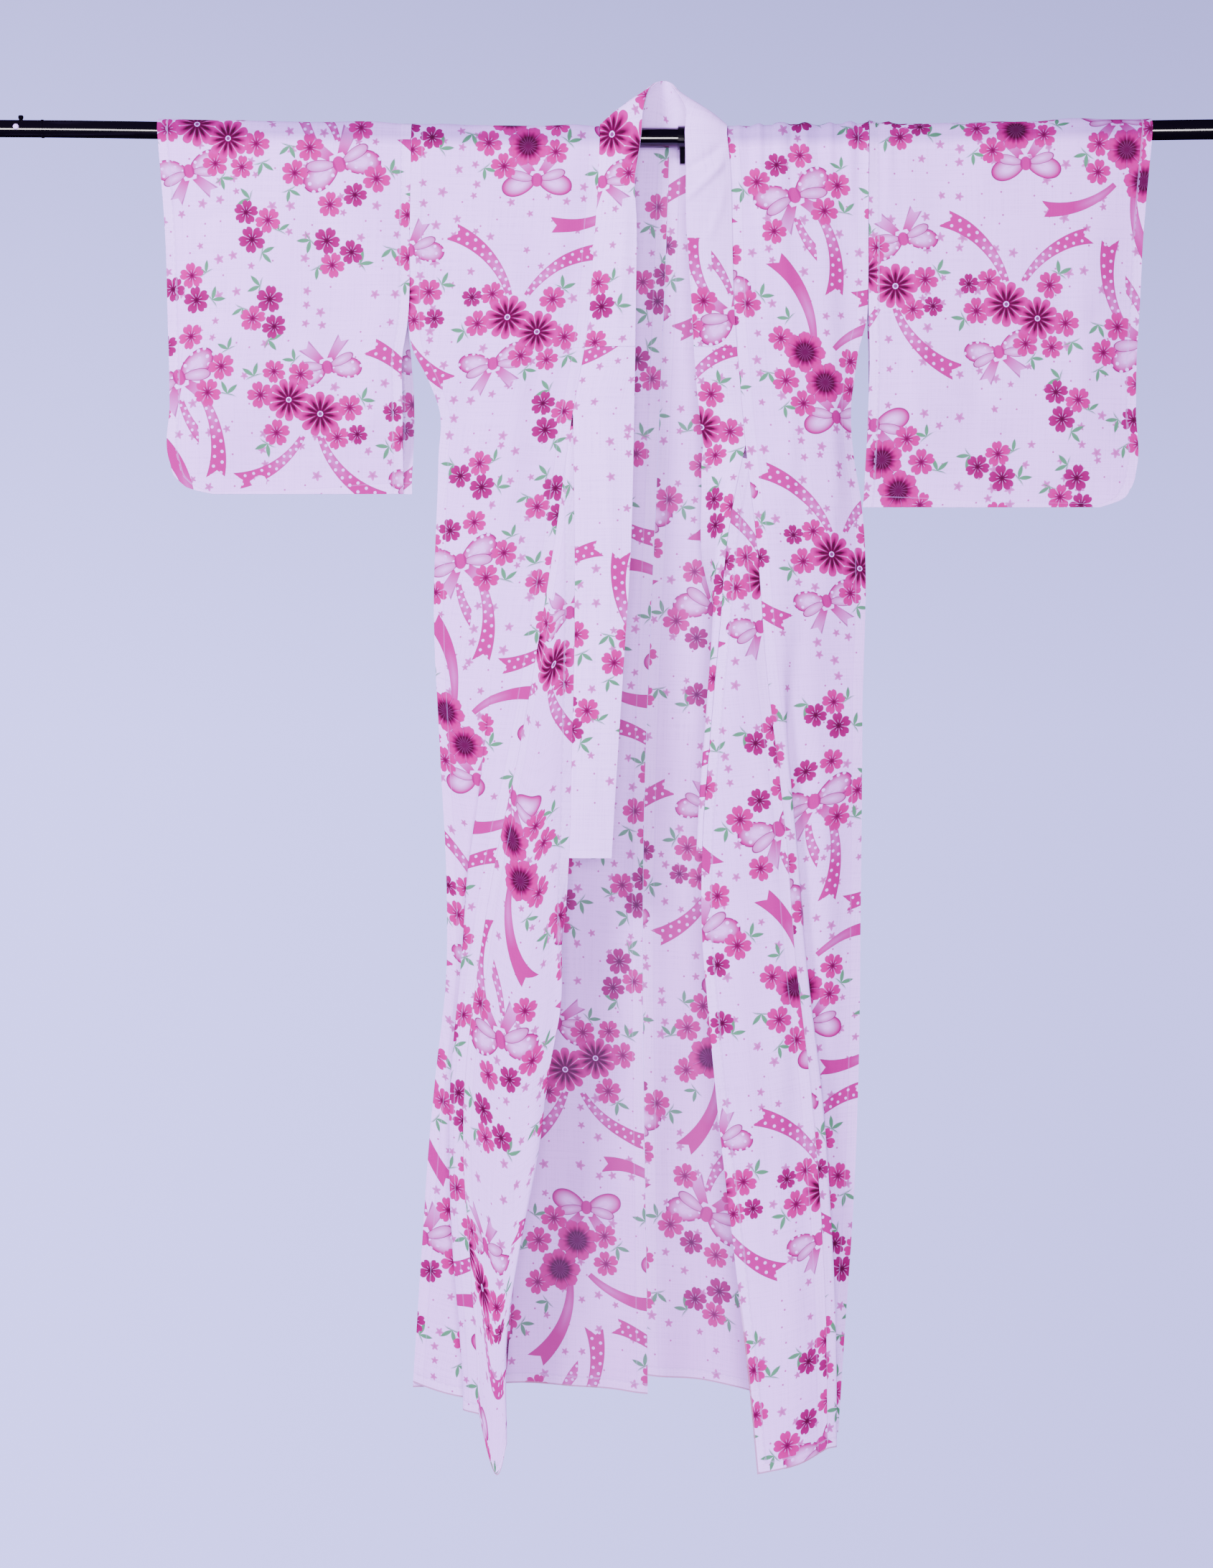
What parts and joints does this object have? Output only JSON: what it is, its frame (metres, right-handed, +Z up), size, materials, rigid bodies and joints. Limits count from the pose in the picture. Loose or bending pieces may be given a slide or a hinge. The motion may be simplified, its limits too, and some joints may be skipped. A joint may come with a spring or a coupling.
{
  "type": "cotton yukata robe on a hanging rod",
  "caption": "Unlined cotton yukata robe hung open on a horizontal rod that runs through both sleeves, with loose fronts, turned collar and wide sleeves.",
  "frame": {"origin": "on the rod's axis at the middle of its length, where the rod and the robe on it are held up", "axes": "+X along the rod towards the robe's left sleeve as worn, +Y towards the robe's back, +Z up"},
  "size_m": [1.8, 0.0886, 1.7804],
  "materials": {
    "printed_cotton": "thin matt white cotton with a woven check and a pink and orchid flower print",
    "collar_cotton": "the same cotton in several layers, whiter",
    "black_enamel": "gloss"
  },
  "bodies": {
    "root": {"body_left_front": "printed_cotton", "body_left_over_rod": "printed_cotton", "body_left_back": "printed_cotton", "body_right_front": "printed_cotton", "body_right_over_rod": "printed_cotton", "body_right_back": "printed_cotton", "okumi_left": "printed_cotton", "okumi_right": "printed_cotton", "sleeve_left": "printed_cotton", "sleeve_right": "printed_cotton", "collar": "collar_cotton", "over_collar": "collar_cotton", "rod_outer": "black_enamel", "rod_inner": "black_enamel", "rod_clamp": "black_enamel"}
  },
  "joints": []
}
